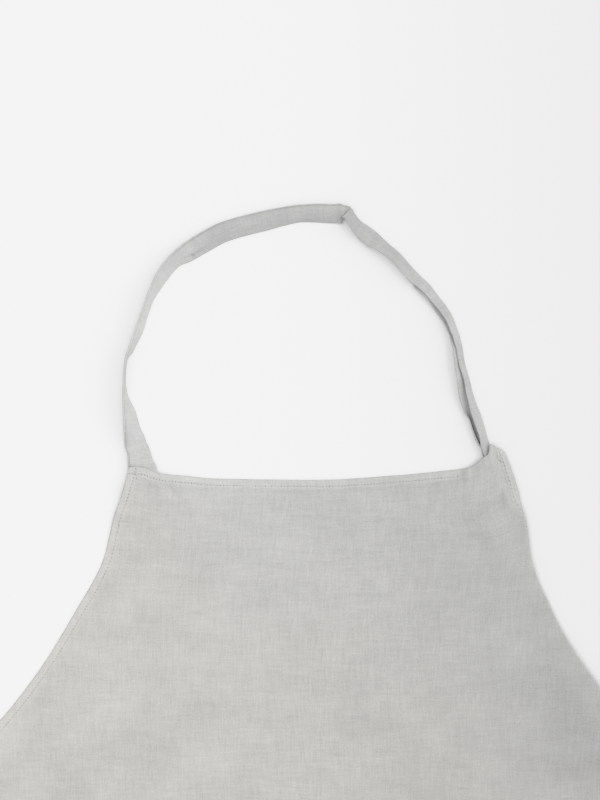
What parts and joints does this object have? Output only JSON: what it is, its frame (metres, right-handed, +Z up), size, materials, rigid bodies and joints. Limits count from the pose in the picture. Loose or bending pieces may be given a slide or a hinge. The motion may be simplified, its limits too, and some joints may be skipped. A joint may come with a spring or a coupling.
{
  "type": "linen bib apron",
  "caption": "Linen bib apron lying flat, with a curved-armhole bib, plain skirt, narrow turned hems, a folded neck strap and side waist ties.",
  "frame": {"origin": "middle of the footprint's bounding box, on the table the apron lies on", "axes": "+Y from the bottom hem towards the neck strap, +X to the right seen from above, +Z up from the table"},
  "size_m": [0.832, 1.0648, 0.0166],
  "materials": {
    "linen": "matt plain-weave linen",
    "linen_band": "matt linen strip, folded and edge-stitched"
  },
  "bodies": {
    "root": {"body_panel": "linen", "top_hem": "linen", "bottom_hem": "linen", "left_armhole_hem": "linen", "right_armhole_hem": "linen", "left_side_hem": "linen", "right_side_hem": "linen", "neck_strap": "linen_band", "left_waist_tie": "linen_band", "right_waist_tie": "linen_band"}
  },
  "joints": []
}
